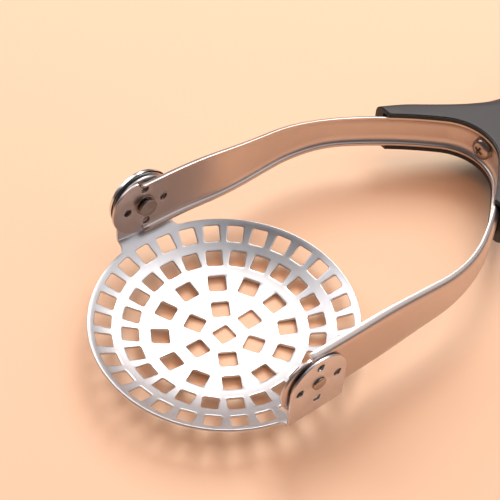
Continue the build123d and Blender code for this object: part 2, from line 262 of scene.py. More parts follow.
@dataclass(frozen=True)
class Moulded:
    """Moulded plastic or rubber, with a spark-eroded texture and faint handling marks."""

    name: str
    tone: tuple[float, float, float]
    shade: tuple[float, float, float]
    roughness: float
    spread: float = 0.08
    texture_scale: float = 2600.0
    texture_depth: float = 0.00003
    specular: float = 0.5
    sheen: float = 0.0

    def material(self) -> bpy.types.Material:
        """Build the material."""
        graph = Graph(self.name)
        texture = graph.noise(graph.place(), self.texture_scale, 2.0)
        cloud = graph.noise(graph.place(), 45.0, 4.0, 0.6)
        rough = self.roughness + (cloud - 0.5) * self.spread + (texture - 0.5) * self.spread * 0.5
        return graph.feed(
            Base_Color=graph.blend(cloud, self.shade, self.tone),
            Roughness=rough.clamped(),
            Specular_IOR_Level=self.specular,
            Sheen_Weight=self.sheen,
            Normal=graph.bump(texture, 0.4, self.texture_depth),
        )


PLATE_STEEL = Steel("plate_steel", (0.78, 0.75, 0.76), (0.67, 0.64, 0.65), 0.37, 0.08)
FORK_STEEL = Steel(
    "fork_steel", (0.68, 0.59, 0.55), (0.60, 0.51, 0.47), 0.33, 0.06, (1.0, 0.06, 1.0), grain_depth=0.000008
)
FASTENER_STEEL = Steel("fastener_steel", (0.50, 0.42, 0.37), (0.36, 0.29, 0.25), 0.20, 0.08)
BUTTON_STEEL = Steel("button_steel", (0.80, 0.78, 0.77), (0.70, 0.68, 0.67), 0.22, 0.08)
SPRING_STEEL = Steel("spring_steel", (0.30, 0.29, 0.28), (0.18, 0.17, 0.17), 0.35, 0.12)
INSERT_BRASS = Steel("insert_brass", (0.80, 0.60, 0.28), (0.70, 0.50, 0.22), 0.30, 0.10)
CORE_PLASTIC = Moulded("core_plastic", (0.012, 0.010, 0.010), (0.006, 0.005, 0.005), 0.42)
CAP_PLASTIC = Moulded("cap_plastic", (0.014, 0.013, 0.013), (0.007, 0.006, 0.006), 0.30)
GRIP_RUBBER = Moulded("grip_rubber", (0.046, 0.046, 0.049), (0.034, 0.034, 0.037), 0.50, 0.10, 1800.0, 0.00004, 0.4)
WASHER_NYLON = Moulded("washer_nylon", (0.80, 0.78, 0.72), (0.70, 0.68, 0.62), 0.45)


# ------------------------------------------------------------------ mesh helpers
def chain(bm: BMesh, points: Iterable[Vector], closed: bool = False) -> list[BMVert]:
    """Join points by edges.

    Args:
        bm: the mesh to add to.
        points: the corners, in order.
        closed: whether the last joins the first.

    Returns:
        The new vertices, in order.
    """
    verts = [bm.verts.new(p) for p in points]
    for a, b in zip(verts, verts[1:] + verts[:1] if closed else verts[1:]):
        bm.edges.new((a, b))
    return verts


def grow(bm: BMesh, row: list[BMVert], targets: Sequence[Vector], closed: bool = False) -> list[BMVert]:
    """Extrude a row of edges and set the new row's places.

    Args:
        bm: the mesh.
        row: the vertices of the row, in order.
        targets: a place for each new vertex.
        closed: whether the row is a loop.

    Returns:
        The new row, in the same order.
    """
    pairs = zip(row, row[1:] + row[:1] if closed else row[1:])
    made = bmesh.ops.extrude_edge_only(bm, edges=[bm.edges.get(pair) for pair in pairs])
    fresh = {v for v in made["geom"] if isinstance(v, BMVert)}
    twins = []
    for vert, target in zip(row, targets):
        twin = next(e.other_vert(vert) for e in vert.link_edges if e.other_vert(vert) in fresh)
        twin.co = target
        twins.append(twin)
    return twins


def merge(bm: BMesh, distance: float = 0.002) -> None:
    """Merge vertices that meet, in millimetres."""
    bmesh.ops.remove_doubles(bm, verts=bm.verts, dist=distance)


def outward(bm: BMesh) -> None:
    """Turn all faces outwards."""
    bmesh.ops.recalc_face_normals(bm, faces=bm.faces)


def thicken(bm: BMesh, depth: float) -> None:
    """Give a surface a wall that lies behind it, each corner moved straight back.

    Args:
        bm: the mesh, its faces turned to the side that stays.
        depth: the wall's thickness.
    """
    bm.normal_update()
    shift = bm.verts.layers.float_vector.new("shift")
    for vert in bm.verts:
        vert[shift] = -vert.normal * depth
    made = bmesh.ops.extrude_face_region(bm, geom=bm.faces[:], use_keep_orig=True)
    for vert in (v for v in made["geom"] if isinstance(v, BMVert)):
        vert.co += vert[shift]
    bm.verts.layers.float_vector.remove(bm.verts.layers.float_vector["shift"])
    outward(bm)


def soften(bm: BMesh, width: float, segments: int = 2, angle: float = 38.0) -> None:
    """Round every edge sharper than an angle in degrees."""
    sharp = [e for e in bm.edges if len(e.link_faces) == 2 and e.calc_face_angle() > math.radians(angle)]
    bmesh.ops.bevel(
        bm, geom=sharp, offset=width, offset_type="OFFSET", segments=segments, profile=0.5,
        affect="EDGES", material=-1, clamp_overlap=True,
    )


def lathe(bm: BMesh, outline: Sequence[tuple[float, float]], steps: int = 64, closed: bool = False) -> None:
    """Spin an outline of (place along X, radius) about the pivot axis."""
    verts = chain(bm, [Vector((x, r, 0.0)) for x, r in outline], closed)
    edges = {e for v in verts for e in v.link_edges}
    bmesh.ops.spin(
        bm, geom=verts + list(edges), cent=(0, 0, 0), axis=(1, 0, 0), angle=TURN, steps=steps,
        use_merge=True, use_duplicate=False,
    )
    merge(bm, 0.0005)
    outward(bm)


def arc(centre: tuple[float, float], radius: float, start: float, end: float, steps: int) -> list[tuple[float, float]]:
    """Points on an arc, both ends included, with angles in degrees."""
    return [
        (
            centre[0] + radius * math.cos(math.radians(start + (end - start) * i / steps)),
            centre[1] + radius * math.sin(math.radians(start + (end - start) * i / steps)),
        )
        for i in range(steps + 1)
    ]


def new_piece(
    bm: BMesh, name: str, material: bpy.types.Material, place: Matrix = TO_FRAME, smooth_angle: float = 35.0
) -> bpy.types.Object:
    """Turn a finished mesh into an object at the origin.

    Args:
        bm: the mesh, which is freed.
        name: the piece's name.
        material: its finish.
        place: from the mesh's units to the frame.
        smooth_angle: edges sharper than this many degrees stay sharp.

    Returns:
        The new object.
    """
    bmesh.ops.transform(bm, matrix=place, verts=bm.verts)
    limit = math.radians(smooth_angle)
    for face in bm.faces:
        face.smooth = True
    for edge in bm.edges:
        edge.smooth = len(edge.link_faces) != 2 or edge.calc_face_angle() < limit
    mesh = bpy.data.meshes.new(name)
    bm.to_mesh(mesh)
    bm.free()
    mesh.materials.append(material)
    piece = bpy.data.objects.new(name, mesh)
    bpy.context.scene.collection.objects.link(piece)
    return piece


def install(piece: bpy.types.Object, body: Body, slot: str, *nodes: str) -> None:
    """Say which body a piece rides on and hide the CAD nodes it stands for."""
    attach(piece, body.value)
    if nodes:
        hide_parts(*nodes)
    log.info("%s: %d faces on %s", piece.name, len(piece.data.polygons), body.value)


def carve(bm: BMesh, cutters: Sequence[BMesh]) -> BMesh:
    """Cut solids out of a solid.

    Args:
        bm: the solid, which is freed.
        cutters: the solids to take away, which are freed.

    Returns:
        What is left, as a new mesh.
    """
    made = []
    for part in (bm, *cutters):
        mesh = bpy.data.meshes.new("carving")
        part.to_mesh(mesh)
        part.free()
        made.append(bpy.data.objects.new("carving", mesh))
        bpy.context.scene.collection.objects.link(made[-1])
    for cutter in made[1:]:
        cut = made[0].modifiers.new("cut", "BOOLEAN")
        cut.operation = "DIFFERENCE"
        cut.solver = "EXACT"
        cut.object = cutter
    shape = made[0].evaluated_get(bpy.context.evaluated_depsgraph_get())
    result = bmesh.new()
    result.from_mesh(shape.to_mesh())
    shape.to_mesh_clear()
    for item in made:
        mesh = item.data
        bpy.data.objects.remove(item)
        bpy.data.meshes.remove(mesh)
    return result


# ------------------------------------------------------------------ mashing plate
@dataclass
class MashingPlate:
    """The dished plate with its square holes and its two ears."""

    sheet: float = 1.0
    radius: float = 48.3
    centre_curve: float = 150.0
    edge_curve: float = 80.0
    break_radius: float = 23.0
    rings: tuple[tuple[float, int, float, float], ...] = (
        (11.5, 6, 30.0, 6.5), (22.9, 12, 0.0, 6.5), (33.4, 24, 0.0, 5.9), (43.0, 30, 6.0, 5.9),
    )
    bounds: tuple[float, ...] = (6.4, 17.3, 28.4, 38.2, 46.9)
    centre_hole: float = 6.5
    hole_corner: float = 0.8
    edge_soft: float = 0.24
    divisions: int = 240
    ear_out: float = 50.2
    ear_half: float = 11.6
    ear_bend: float = 1.5
    root_fillet: float = 2.0
    lock_circle: float = 7.8
    lock_hole: float = 1.55
    bores: dict[Side, float] = field(default_factory=lambda: {Side.LOCK: 3.05, Side.PLAIN: 1.95})

    @property
    def floor(self) -> float:
        """Height of the dish's upper face at its centre, from the pivot."""
        return self.sheet - PIVOT.z / MM

    def rise(self, r: float) -> tuple[float, float]:
        """Height of the upper face over its centre, and its slope as an angle, at a radius."""
        inner = math.asin(self.break_radius / self.centre_curve)
        if r <= self.break_radius:
            return self.centre_curve - math.sqrt(self.centre_curve**2 - r * r), math.asin(r / self.centre_curve)
        angle = math.asin((r - self.break_radius) / self.edge_curve + math.sin(inner))
        base = self.centre_curve * (1 - math.cos(inner))
        return base + self.edge_curve * (math.cos(inner) - math.cos(angle)), angle

    def square_loop(self, width: float, radial: int, along: int) -> list[tuple[float, float]]:
        """A rounded square as points, its sides cut into the asked numbers of steps.

        Args:
            width: across the flats.
            radial: steps on each of the two sides that run outwards.
            along: steps on each of the two sides that run round the plate.

        Returns:
            Points as (outwards, round), from the inner corner.
        """
        half, soft = width / 2, self.hole_corner
        turns = ((1, 0, 0, -1), (0, 1, 1, 0), (-1, 0, 0, 1), (0, -1, -1, 0))
        loop = []
        for steps, (ax, ay, bx, by) in zip((radial, along, radial, along), turns):
            for i in range(steps):
                j = min(i, steps - i)
                if j < 2:
                    turn = math.radians(45.0 - 22.5 * j)
                    a = -half + soft - soft * math.sin(turn)
                    a = a if i < 2 else -a
                    b = half - soft + soft * math.cos(turn)
                else:
                    a = (2 * (i - 2) / (steps - 4) - 1) * (half - soft)
                    b = half
                loop.append((a * ax + b * bx, a * ay + b * by))
        return loop

    def cell_loop(self, inner: float, outer: float, half_turn: float, radial: int, along: int) -> list[Vector]:
        """The border of one hole's share of its ring, as points in the order of square_loop."""
        loop = []
        for i in range(radial):
            r = inner + (outer - inner) * i / radial
            loop.append((r, -half_turn))
        for i in range(along):
            loop.append((outer, half_turn * (2 * i / along - 1)))
        for i in range(radial):
            r = outer + (inner - outer) * i / radial
            loop.append((r, half_turn))
        for i in range(along):
            loop.append((inner, half_turn * (1 - 2 * i / along)))
        return [Vector((r * math.cos(t), r * math.sin(t), 0.0)) for r, t in loop]

    def add_ring(self, bm: BMesh, ring: int) -> None:
        """Add one ring of holes, flat, with the sheet round them."""
        middle, count, first, width = self.rings[ring]
        inner, outer = self.bounds[ring], self.bounds[ring + 1]
        along = self.divisions // count
        radial = 8
        hole = [Vector((middle + a, b, 0.0)) for a, b in self.square_loop(width, radial, along)]
        border = self.cell_loop(inner, outer, math.pi / count, radial, along)
        lip = [h.lerp(b, 0.4) for h, b in zip(hole, border)]
        row = chain(bm, hole, closed=True)
        start = set(row)
        row = grow(bm, row, lip, closed=True)
        start.update(row)
        row = grow(bm, row, border, closed=True)
        start.update(row)
        faces = {f for v in start for f in v.link_faces}
        edges = {e for f in faces for e in f.edges}
        geom = list(start) + list(edges) + list(faces)
        bmesh.ops.rotate(bm, verts=list(start), cent=(0, 0, 0), matrix=Matrix.Rotation(math.radians(first), 3, "Z"))
        bmesh.ops.spin(
            bm, geom=geom, cent=(0, 0, 0), axis=(0, 0, 1), angle=TURN * (count - 1) / count,
            steps=count - 1, use_merge=False, use_duplicate=True,
        )

    def add_centre(self, bm: BMesh) -> None:
        """Add the middle hole and the sheet round it."""
        quarter = self.divisions // 4
        hole = [Vector((a, b, 0.0)) for a, b in self.square_loop(self.centre_hole, quarter, quarter)]
        step = TURN / self.divisions
        offset = -3 * self.divisions // 8
        border = [
            Vector((math.cos((offset + i) * step), math.sin((offset + i) * step), 0.0)) * self.bounds[0]
            for i in range(self.divisions)
        ]
        row = chain(bm, hole, closed=True)
        row = grow(bm, row, [h.lerp(b, 0.45) for h, b in zip(hole, border)], closed=True)
        grow(bm, row, border, closed=True)

    def rim_place(self, index: int) -> Vector:
        """Where the sheet's outer edge is, by its number round the plate, in plan."""
        angle = TURN * index / self.divisions
        folded = math.remainder(angle, math.pi)
        side = 1.0 if math.cos(angle) > 0 else -1.0
        root_x = self.ear_out - self.sheet - self.ear_bend * (1 - math.sin(self.rise(self.radius)[1]))
        last = math.floor(math.degrees(math.asin(self.ear_half / self.radius)) / 360 * self.divisions)
        number = round(folded / TURN * self.divisions)
        if abs(number) <= last:
            y = self.ear_half * math.sin(folded) / math.sin(TURN * last / self.divisions)
            return Vector((side * root_x, side * y, 0.0))
        reach = self.radius + self.root_fillet
        centre_y = self.ear_half + self.root_fillet
        centre_x = math.sqrt(reach**2 - centre_y**2)
        bearing = math.atan2(centre_y, centre_x)
        if abs(folded) < bearing:
            along = reach * math.cos(bearing - abs(folded))
            r = along - math.sqrt(max(0.0, self.root_fillet**2 - reach**2 + along**2))
        else:
            r = self.radius
        return Vector((r * math.cos(angle), r * math.sin(angle), 0.0))

    def ear_rows(self, bm: BMesh, root: list[BMVert], side: Side) -> list[BMVert]:
        """Bend the sheet up from the rim and take it to the foot of the flat ear.

        Args:
            bm: the mesh.
            root: the rim's vertices along the ear.
            side: which ear.

        Returns:
            The top row.
        """
        height, slope = self.rise(self.radius)
        inner_x = self.ear_out + side.extra - self.sheet
        lift = side.extra * math.tan(slope)
        row, steps = root, 7
        if side.extra:
            row = grow(bm, row, [v.co + Vector((side.value * side.extra, 0.0, lift)) for v in row])
        base = [v.co.copy() for v in row]
        level = self.floor + height + lift
        for i in range(1, steps + 1):
            angle = slope + (math.pi / 2 - slope) * i / steps
            x = inner_x - self.ear_bend * (1 - math.sin(angle))
            z = level + self.ear_bend * (math.cos(slope) - math.cos(angle))
            keep = 1.0 - i / steps
            row = grow(bm, row, [Vector((side.value * x, b.y, z + (b.z - level) * keep)) for b in base])
        top = -self.lock_circle - self.lock_hole - 1.2
        foot = row[0].co.z
        for i in (1, 2):
            z = foot + (top - foot) * i / 2
            row = grow(bm, row, [Vector((v.co.x, v.co.y, z)) for v in row])
        return row

    def fill_ear(self, bm: BMesh, foot: list[BMVert], side: Side) -> None:
        """Fill the flat of an ear, round-topped and with its five holes."""
        x = foot[0].co.x
        first, last = foot[0], foot[-1]
        turn = 1.0 if last.co.y > first.co.y else -1.0
        arch = [(self.ear_half * turn, first.co.z * k / 4) for k in (3, 2, 1)]
        arch += arc((0.0, 0.0), self.ear_half, 0.0, 180.0, 28) if turn > 0 else arc((0.0, 0.0), self.ear_half, 180.0, 0.0, 28)
        arch += [(-self.ear_half * turn, first.co.z * k / 4) for k in (1, 2, 3)]
        verts = [bm.verts.new((x, y, z)) for y, z in arch]
        ring = [last, *verts, first]
        edges = [bm.edges.new(pair) for pair in zip(ring, ring[1:])]
        edges += [bm.edges.get(pair) for pair in zip(foot, foot[1:])]
        holes = [((0.0, 0.0), self.bores[side], 32)]
        holes += [((self.lock_circle * math.cos(a), self.lock_circle * math.sin(a)), self.lock_hole, 20)
                  for a in (0.0, math.pi / 2, math.pi, 1.5 * math.pi)]
        for centre, r, steps in holes:
            loop = chain(bm, [Vector((x, y, z)) for y, z in arc(centre, r, 0.0, 360.0, steps)[:-1]], closed=True)
            edges += [bm.edges.get(pair) for pair in zip(loop, loop[1:] + loop[:1])]
        bmesh.ops.triangle_fill(bm, use_beauty=True, use_dissolve=False, edges=edges, normal=(side.value, 0, 0))

    def build(self) -> bpy.types.Object:
        """Build the whole plate."""
        bm = bmesh.new()
        self.add_centre(bm)
        for ring in range(len(self.rings)):
            self.add_ring(bm, ring)
        merge(bm)
        edge_r = self.bounds[-1]
        border = sorted(
            (v for v in bm.verts if abs(v.co.to_2d().length - edge_r) < 0.01),
            key=lambda v: round(math.atan2(v.co.y, v.co.x) / TURN * self.divisions) % self.divisions,
        )
        rim = grow(bm, border, [self.rim_place(i) for i in range(self.divisions)], closed=True)
        for vert in bm.verts:
            vert.co.z = self.floor + self.rise(vert.co.to_2d().length)[0]
        reach = math.floor(math.degrees(math.asin(self.ear_half / self.radius)) / 360 * self.divisions)
        for side, middle in ((Side.PLAIN, 0), (Side.LOCK, self.divisions // 2)):
            root = [rim[(middle + i) % self.divisions] for i in range(-reach, reach + 1)]
            self.fill_ear(bm, self.ear_rows(bm, root, side), side)
        merge(bm)
        outward(bm)
        probe = min(bm.faces, key=lambda f: abs(f.calc_center_median().to_2d().length - edge_r / 2))
        if probe.normal.z < 0:
            bmesh.ops.reverse_faces(bm, faces=bm.faces)
        thicken(bm, self.sheet)
        soften(bm, self.edge_soft, 3, 55.0)
        piece = new_piece(bm, "plate", PLATE_STEEL.material(), smooth_angle=42.0)
        install(piece, Body.HEAD, "plate_steel", "mashing_plate")
        return piece


# ------------------------------------------------------------------ fork
@dataclass
class Fork:
    """The pressed channel with its two arms and the yoke between them."""

    sheet: float = 1.0
    web_out: float = 48.4
    flange: float = 2.8
    bend: float = 2.4
    bend_growth: float = 1.9
    growth: tuple[float, float] = (12.0, 48.0)
    web_half: float = 11.8
    arm_half: float = 7.3
    taper: tuple[float, float] = (31.0, 80.0)
    taper_soft: float = 8.0
    bend_y: float = 56.5
    shoulder_r: float = 62.0
    shoulder_turn: float = 30.0
    yoke_r: float = 23.0
    saddle_turn: float = 44.0
    patch_end: float = 11.0
    end_at: float = -2.2
    flange_start: float = -1.7
    swing: tuple[float, float] = (8.0, 48.0)
    notch: float = 0.6
    edge_soft: float = 0.2
    lock_circle: float = 7.8
    lock_hole: float = 1.6
    bores: dict[Side, float] = field(default_factory=lambda: {Side.LOCK: 3.0, Side.PLAIN: 1.9})

    @property
    def arm_r(self) -> float:
        """Radius of the long gentle bend of each arm, which closes the fork on its middle line."""
        a, b = math.radians(self.shoulder_turn), math.radians(self.saddle_turn)
        spent = self.shoulder_r * (1 - math.cos(a)) + self.yoke_r * math.cos(b)
        return (self.web_out - spent) / (math.cos(a) - math.cos(b))

    def path(self, steps: tuple[int, int, int, int] = (18, 16, 16, 20)) -> list[tuple[float, float, float]]:
        """The outer line of one arm from the end of its flat to the middle of the yoke.

        Args:
            steps: how finely each of the four stretches is cut.

        Returns:
            Points as (x, y, turn in radians), on the plain side.
        """
        points = [
            (self.web_out, self.patch_end + (self.bend_y - self.patch_end) * i / steps[0], 0.0)
            for i in range(steps[0])
        ]
        x, y, turn = self.web_out, self.bend_y, 0.0
        turns = (self.shoulder_turn, self.saddle_turn, 90.0)
        for radius, end, count in zip((self.shoulder_r, self.arm_r, self.yoke_r), turns, steps[1:]):
            cx, cy = x - radius * math.cos(turn), y - radius * math.sin(turn)
            goal = math.radians(end)
            for i in range(count):
                t = turn + (goal - turn) * i / count
                points.append((cx + radius * math.cos(t), cy + radius * math.sin(t), t))
            turn = goal
            x, y = cx + radius * math.cos(turn), cy + radius * math.sin(turn)
        points.append((0.0, y, math.pi / 2))
        return points

    def swung(self, y: float) -> tuple[float, float]:
        """How far out the lock arm stands over the plain arm's line, and its lean as an angle."""
        start, end = self.swing
        s = min(1.0, max(0.0, (y - start) / (end - start)))
        if s < 0.5:
            return LOCK_OUT * (1 - 2 * s * s), math.atan(4 * s * LOCK_OUT / (end - start))
        return LOCK_OUT * 2 * (1 - s) ** 2, math.atan(4 * (1 - s) * LOCK_OUT / (end - start))

    @property
    def yoke_y(self) -> float:
        """How far the yoke's outer face is from the pivot."""
        return self.path()[-1][1]

    def half_at(self, y: float) -> float:
        """Half the channel's height at a distance from the pivot, easing in and out of the taper."""
        start, end = self.taper
        drop = (self.web_half - self.arm_half) / (end - start)
        soft = self.taper_soft

        def ramp(t: float) -> float:
            """A straight ramp from 0 with a rounded start."""
            if t < -soft:
                return 0.0
            if t > soft:
                return t
            return (t + soft) ** 2 / (4 * soft)

        return self.web_half - drop * (ramp(y - start) - ramp(y - end))

    def bend_height(self, y: float) -> float:
        """Height that the bend takes at a distance from the pivot: it grows fuller along the arm."""
        start, end = self.growth
        t = min(1.0, max(0.0, (y - start) / (end - start)))
        return self.bend + self.bend_growth * t * t * (3 - 2 * t)

    def outline(self, y: float) -> list[tuple[float, float]]:
        """The channel's outer line as (depth from the web, height), from the top lip to the bottom lip."""
        rows = 10
        half, rise = self.half_at(y), self.bend_height(y)
        top = [(self.flange, half), ((self.flange + self.bend) / 2, half)]
        top += [(self.bend * a, half - rise * (1 - b)) for a, b in arc((1.0, 0.0), 1.0, 90.0, 180.0, 5)]
        web = [(0.0, (half - rise) * (1 - 2 * i / rows)) for i in range(1, rows)]
        return top + web + [(a, -b) for a, b in reversed(top)]

    def section(self, x: float, y: float, turn: float) -> list[Vector]:
        """The channel's outer line at one place of its path."""
        n = Vector((math.cos(turn), math.sin(turn), 0.0))
        return [
            Vector((x, y, 0.0)) - n * depth + Vector((0.0, 0.0, z)) for depth, z in self.outline(y)
        ]

    def strip_back(self, bm: BMesh, row: list[BMVert]) -> list[BMVert]:
        """Take a flange and its bend back to where the flange starts.

        Args:
            bm: the mesh.
            row: the lip's vertices, from its free edge to the web.

        Returns:
            The vertices where the bend meets the web, going back.
        """
        steps = 5
        seam = []
        for i in range(1, steps + 1):
            y = self.patch_end + (self.flange_start - self.patch_end) * i / steps
            targets = [Vector((v.co.x, y, v.co.z)) for v in row]
            if i == steps:
                targets[0].y += 0.5
                targets[1].y += 0.1
            row = grow(bm, row, targets)
            seam.append(row[-1])
        return seam

    def close_web(self, bm: BMesh, row: list[BMVert], side: Side) -> None:
        """Add the flanges' starts and the round-ended flat with its holes."""
        bend_points = 7
        top = self.strip_back(bm, row[:bend_points + 1])
        bottom = self.strip_back(bm, row[::-1][:bend_points + 1])
        x = row[0].co.x if abs(row[0].co.x) > abs(row[bend_points].co.x) else row[bend_points].co.x
        half = self.web_half
        lip = half - self.bend
        corner = math.degrees(math.asin(self.notch / half))
        round_end = arc((self.end_at, 0.0), half, 90.0 + corner, 270.0 - corner, 40)
        rim = [(self.flange_start - self.notch, lip + 0.25), *round_end, (self.flange_start - self.notch, -lip - 0.25)]
        verts = [bm.verts.new((x, y, z)) for y, z in rim]
        web_row = row[bend_points:len(row) - bend_points]
        ring = [web_row[0], *top, *verts, *reversed(bottom), web_row[-1]]
        edges = []
        for pair in zip(ring, ring[1:]):
            edges.append(bm.edges.get(pair) or bm.edges.new(pair))
        edges += [bm.edges.get(pair) for pair in zip(web_row, web_row[1:])]
        holes = [((0.0, 0.0), self.bores[side], 32)]
        if side is Side.LOCK:
            holes += [((self.lock_circle * math.cos(a), self.lock_circle * math.sin(a)), self.lock_hole, 20)
                      for a in (0.0, math.pi / 2, math.pi, 1.5 * math.pi)]
        for centre, r, steps in holes:
            loop = chain(bm, [Vector((x, y, z)) for y, z in arc(centre, r, 0.0, 360.0, steps)[:-1]], closed=True)
            edges += [bm.edges.get(pair) for pair in zip(loop, loop[1:] + loop[:1])]
        bmesh.ops.triangle_fill(bm, use_beauty=True, use_dissolve=False, edges=edges, normal=(side.value, 0, 0))

    def build(self) -> bpy.types.Object:
        """Build the whole fork."""
        bm = bmesh.new()
        plain = self.path()
        whole = list(plain)
        for x, y, turn in reversed(plain[:-1]):
            shift, lean = self.swung(y)
            whole.append((-x - shift, y, math.pi - turn - lean))
        first = chain(bm, self.section(*whole[0]))
        row = first
        for place in whole[1:]:
            row = grow(bm, row, self.section(*place))
        self.close_web(bm, first, Side.PLAIN)
        self.close_web(bm, row, Side.LOCK)
        merge(bm)
        outward(bm)
        probe = max(bm.faces, key=lambda f: f.calc_center_median().y)
        if probe.normal.y < 0:
            bmesh.ops.reverse_faces(bm, faces=bm.faces)
        thicken(bm, self.sheet)
        soften(bm, self.edge_soft, 2, 55.0)
        piece = new_piece(bm, "fork_channel", FORK_STEEL.material(), smooth_angle=42.0)
        install(piece, Body.FRAME, "fork_steel", "fork")
        return piece


# ------------------------------------------------------------------ turned pieces
@dataclass
class PivotParts:
    """The rivet, the bush and the washers that the head turns on."""

    web_in: float = 47.4
    web_out: float = 48.4
    ear_out: float = 50.2
    soft: float = 0.12

    def turned(self, name: str, outline: Sequence[tuple[float, float]], finish: object, body: Body,
               slot: str, closed: bool = True, soft: float = 0.12) -> bpy.types.Object:
        """Make one turned piece that stands for the CAD node of its name.

        Args:
            name: the CAD node.
            outline: its half section as (place along X, radius).
            finish: its finish.
            body: what it rides on.
            slot: the record's material slot; not used.
            closed: whether the outline closes on itself, as a ring's does.
            soft: how far its edges are rounded.

        Returns:
            The new object.
        """
        bm = bmesh.new()
        lathe(bm, outline, 48, closed)
        soften(bm, soft, 2, 38.0)
        piece = new_piece(bm, name + "_turned", finish.material())
        install(piece, body, slot, name)
        return piece

    def ring(self, name: str, start: float, end: float, outer: float, inner: float, finish: object, slot: str,
             body: Body = Body.FRAME) -> bpy.types.Object:
        """Make a plain washer or disc with a hole."""
        outline = [(start, inner), (end, inner), (end, outer), (start, outer)]
        return self.turned(name, outline, finish, body, slot)

    def build(self) -> None:
        """Build all of them."""
        out = self.ear_out + 0.1
        head = [(out, 0.0), (out, 2.6), (out + 0.35, 2.6)]
        head += [(out + 0.3 + 0.7 * math.sin(t), 2.6 * math.cos(t)) for t in (0.35, 0.7, 1.05, 1.3)] + [(out + 1.0, 0.0)]
        tail = self.web_in - 0.6
        rivet = [(tail - 0.8, 0.0), (tail - 0.72, 1.2), (tail - 0.45, 2.3), (tail, 3.0), (tail, 1.9), (out, 1.9)]
        self.turned("pivot_rivet", rivet + head[1:], FASTENER_STEEL, Body.FRAME, "fastener_steel", closed=False)
        self.ring("rivet_washer", tail, self.web_in, 4.5, 1.9, FASTENER_STEEL, "fastener_steel")
        self.ring("rivet_side_washer", self.web_out, self.web_out + 0.7, 5.2, 1.9, WASHER_NYLON, "nylon")
        web = -self.web_out - LOCK_OUT
        self.ring("lock_side_washer", web - 0.7, web, 5.2, 3.0, WASHER_NYLON, "nylon")
        lip, flange = -out - LOCK_OUT, -self.web_in - LOCK_OUT
        bush = [
            (lip - 0.3, 2.05), (flange + 0.3, 2.05), (flange + 0.3, 4.2), (flange, 4.2),
            (flange, 3.0), (lip, 3.0), (lip, 3.9), (lip - 0.3, 3.9),
        ]
        self.turned("pivot_bush", bush, FASTENER_STEEL, Body.FRAME, "fastener_steel", soft=0.08)


